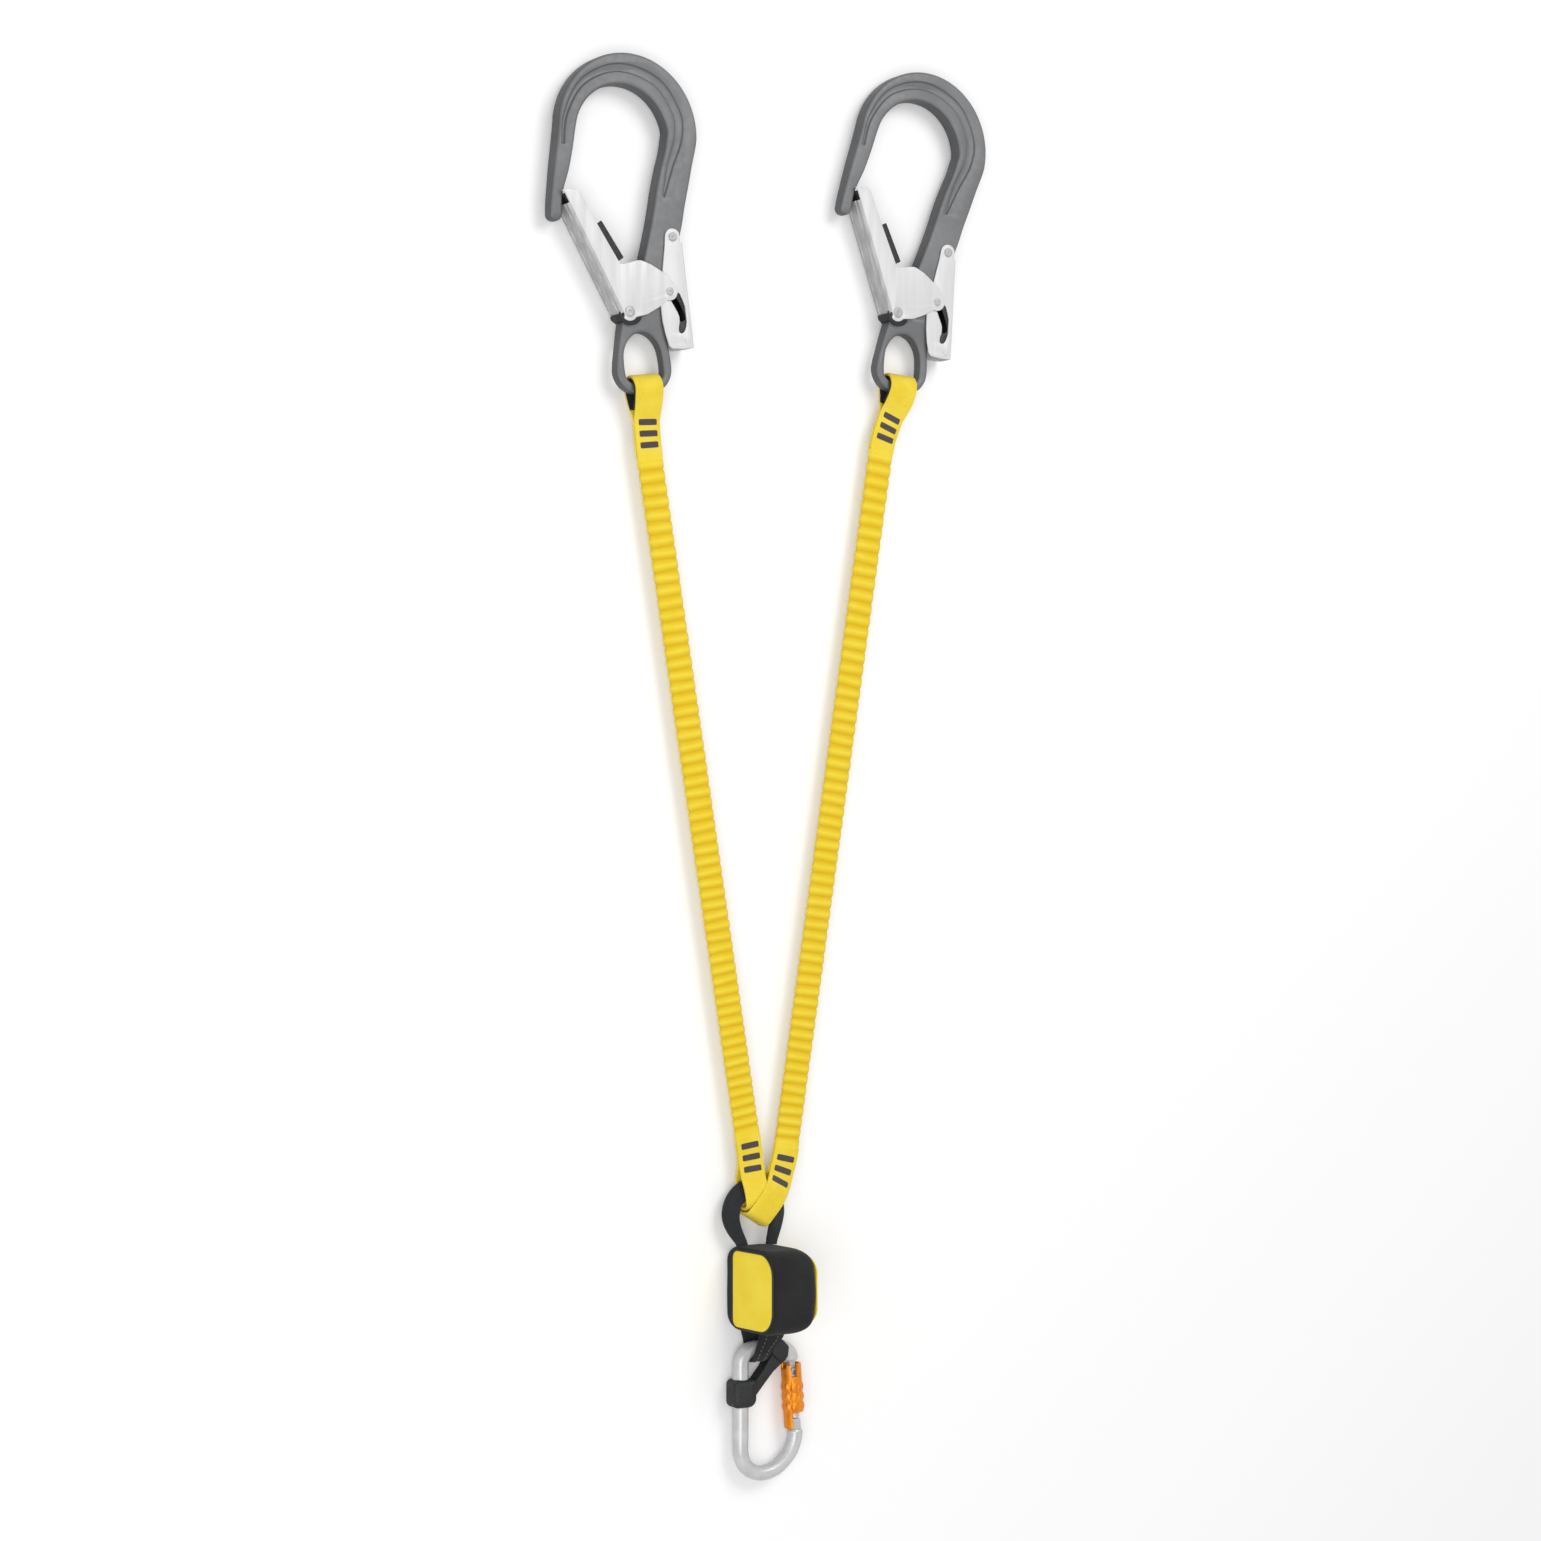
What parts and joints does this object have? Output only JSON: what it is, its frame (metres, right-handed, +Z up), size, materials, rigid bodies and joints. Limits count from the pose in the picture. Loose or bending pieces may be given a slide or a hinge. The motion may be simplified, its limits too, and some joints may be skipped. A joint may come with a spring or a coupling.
{
  "type": "twin shock-absorbing lanyard",
  "caption": "Y-shaped fall-arrest lanyard: stretch webbing arms with wide gated hooks, joined in a webbing ring on an absorber pouch that carries a sleeve-lock carabiner on a webbing loop",
  "frame": {"origin": "centre of the footprint of the whole lanyard, on the surface it lies on", "axes": "+Y runs from the carabiner to the hooks, +Z points up from the surface, +X points to the right-hand arm"},
  "size_m": [0.359, 1.02, 0.056],
  "materials": {
    "forged_grey": "satin forged, grey anodised",
    "light_plate": "satin silver",
    "light_rivet": "satin",
    "spring_wire": "drawn wire",
    "dark_rubber": "matt black",
    "yellow_webbing": "woven ribbed tape",
    "yellow_fabric": "coated fabric",
    "black_webbing": "woven tape",
    "black_fabric": "coated fabric",
    "black_liner": "woven tape",
    "polished_alloy": "polished",
    "orange_sleeve": "anodised"
  },
  "bodies": {
    "absorber": {"pouch_shell": "black_fabric", "left_pouch_panel": "yellow_fabric", "right_pouch_panel": "yellow_fabric", "tear_webbing": "black_webbing", "lower_loop": "black_webbing"},
    "ring": {"webbing_ring": "black_webbing", "left_lower_eye": "yellow_webbing", "right_lower_eye": "yellow_webbing"},
    "left_arm": {"left_elastic_webbing": "yellow_webbing"},
    "left_eye": {"left_upper_eye": "yellow_webbing", "left_eye_liner": "black_liner"},
    "left_hook": {"left_hook_frame": "forged_grey", "left_gate_rivet": "light_rivet", "left_lever_rivet": "light_rivet", "left_gate_spring": "spring_wire", "left_lever_spring": "spring_wire"},
    "left_gate": {"left_hook_gate": "light_plate", "left_gate_bumper": "dark_rubber", "left_follower_rivet": "light_rivet"},
    "left_lever": {"left_hook_lever": "light_plate", "left_lever_pin": "spring_wire"},
    "right_arm": {"right_elastic_webbing": "yellow_webbing"},
    "right_eye": {"right_upper_eye": "yellow_webbing", "right_eye_liner": "black_liner"},
    "right_hook": {"right_hook_frame": "forged_grey", "right_gate_rivet": "light_rivet", "right_lever_rivet": "light_rivet", "right_gate_spring": "spring_wire", "right_lever_spring": "spring_wire"},
    "right_gate": {"right_hook_gate": "light_plate", "right_gate_bumper": "dark_rubber", "right_follower_rivet": "light_rivet"},
    "right_lever": {"right_hook_lever": "light_plate", "right_lever_pin": "spring_wire"},
    "carabiner": {"carabiner_frame": "polished_alloy", "carabiner_gate_rivet": "spring_wire", "keeper_strap": "dark_rubber"},
    "carabiner_gate": {"carabiner_gate": "polished_alloy", "sleeve_spring": "spring_wire"},
    "sleeve_carrier": {"sleeve_collar": "spring_wire"},
    "sleeve": {"locking_sleeve": "orange_sleeve"}
  },
  "joints": [
    {"name": "ring_flex", "type": "hinge", "parent": "absorber", "child": "ring", "pos_m": [-0.01318, -0.34148, 0.0102], "axis": [1, 0, 0], "range_deg": [-40, 40]},
    {"name": "left_arm_swing", "type": "hinge", "parent": "ring", "child": "left_arm", "pos_m": [-0.02093, -0.26328, 0.0102], "axis": [0, 0, 1], "range_deg": [-4, 60]},
    {"name": "left_arm_stretch", "type": "slide", "parent": "left_arm", "child": "left_eye", "axis": [-0.162, 0.9868, 0], "range_m": [0, 0.45], "stiffness_N_per_m": 40, "deforming": ["left_elastic_webbing"]},
    {"name": "left_hook_tilt", "type": "hinge", "parent": "left_eye", "child": "left_hook", "pos_m": [-0.10543, 0.26572, 0.0102], "axis": [0.9914, 0.1305, 0], "range_deg": [-80, 80]},
    {"name": "left_gate_swing", "type": "hinge", "parent": "left_hook", "child": "left_gate", "pos_m": [-0.12028, 0.31722, 0.0102], "axis": [0, 0, 1], "range_deg": [-30, 0], "stiffness_Nm_per_rad": 0.05, "springref_deg": 17.19, "deforming": ["left_gate_spring"]},
    {"name": "left_lever_squeeze", "type": "hinge", "parent": "left_hook", "child": "left_lever", "pos_m": [-0.08566, 0.37221, 0.0102], "axis": [0, 0, 1], "range_deg": [-7.5, 0], "deforming": ["left_lever_spring"]},
    {"name": "right_arm_swing", "type": "hinge", "parent": "ring", "child": "right_arm", "pos_m": [0.01107, -0.27278, 0.0102], "axis": [0, 0, 1], "range_deg": [-60, 4]},
    {"name": "right_arm_stretch", "type": "slide", "parent": "right_arm", "child": "right_eye", "axis": [0.1572, 0.9876, 0], "range_m": [0, 0.45], "stiffness_N_per_m": 40, "deforming": ["right_elastic_webbing"]},
    {"name": "right_hook_tilt", "type": "hinge", "parent": "right_eye", "child": "right_hook", "pos_m": [0.10497, 0.27822, 0.0102], "axis": [0.9981, -0.061, 0], "range_deg": [-80, 80]},
    {"name": "right_gate_swing", "type": "hinge", "parent": "right_hook", "child": "right_gate", "pos_m": [0.10022, 0.33161, 0.0102], "axis": [0, 0, 1], "range_deg": [-30, 0], "stiffness_Nm_per_rad": 0.05, "springref_deg": 17.19, "deforming": ["right_gate_spring"]},
    {"name": "right_lever_squeeze", "type": "hinge", "parent": "right_hook", "child": "right_lever", "pos_m": [0.1447, 0.37898, 0.0102], "axis": [0, 0, 1], "range_deg": [-7.5, 0], "deforming": ["right_lever_spring"]},
    {"name": "carabiner_swing", "type": "hinge", "parent": "absorber", "child": "carabiner", "pos_m": [-0.01293, -0.41548, 0.0097], "axis": [1, 0, 0], "range_deg": [-90, 80]},
    {"name": "carabiner_gate_swing", "type": "hinge", "parent": "carabiner", "child": "carabiner_gate", "pos_m": [0.01567, -0.43428, 0.0097], "axis": [0, 0, 1], "range_deg": [-20, 0], "stiffness_Nm_per_rad": 0.02, "springref_deg": 17.19},
    {"name": "sleeve_lift", "type": "slide", "parent": "carabiner_gate", "child": "sleeve_carrier", "axis": [-0.0655, 0.9979, 0], "range_m": [0, 0.002], "stiffness_N_per_m": 200, "springref_m": -0.005, "deforming": ["sleeve_spring"]},
    {"name": "sleeve_twist", "type": "hinge", "parent": "sleeve_carrier", "child": "sleeve", "pos_m": [0.01567, -0.43428, 0.0097], "axis": [0.0655, -0.9979, 0], "range_deg": [0, 90]}
  ],
  "couplings": [
    {"joint": "left_lever_squeeze", "follows": "left_gate_swing", "ratio": 0.25},
    {"joint": "right_lever_squeeze", "follows": "right_gate_swing", "ratio": 0.25}
  ]
}
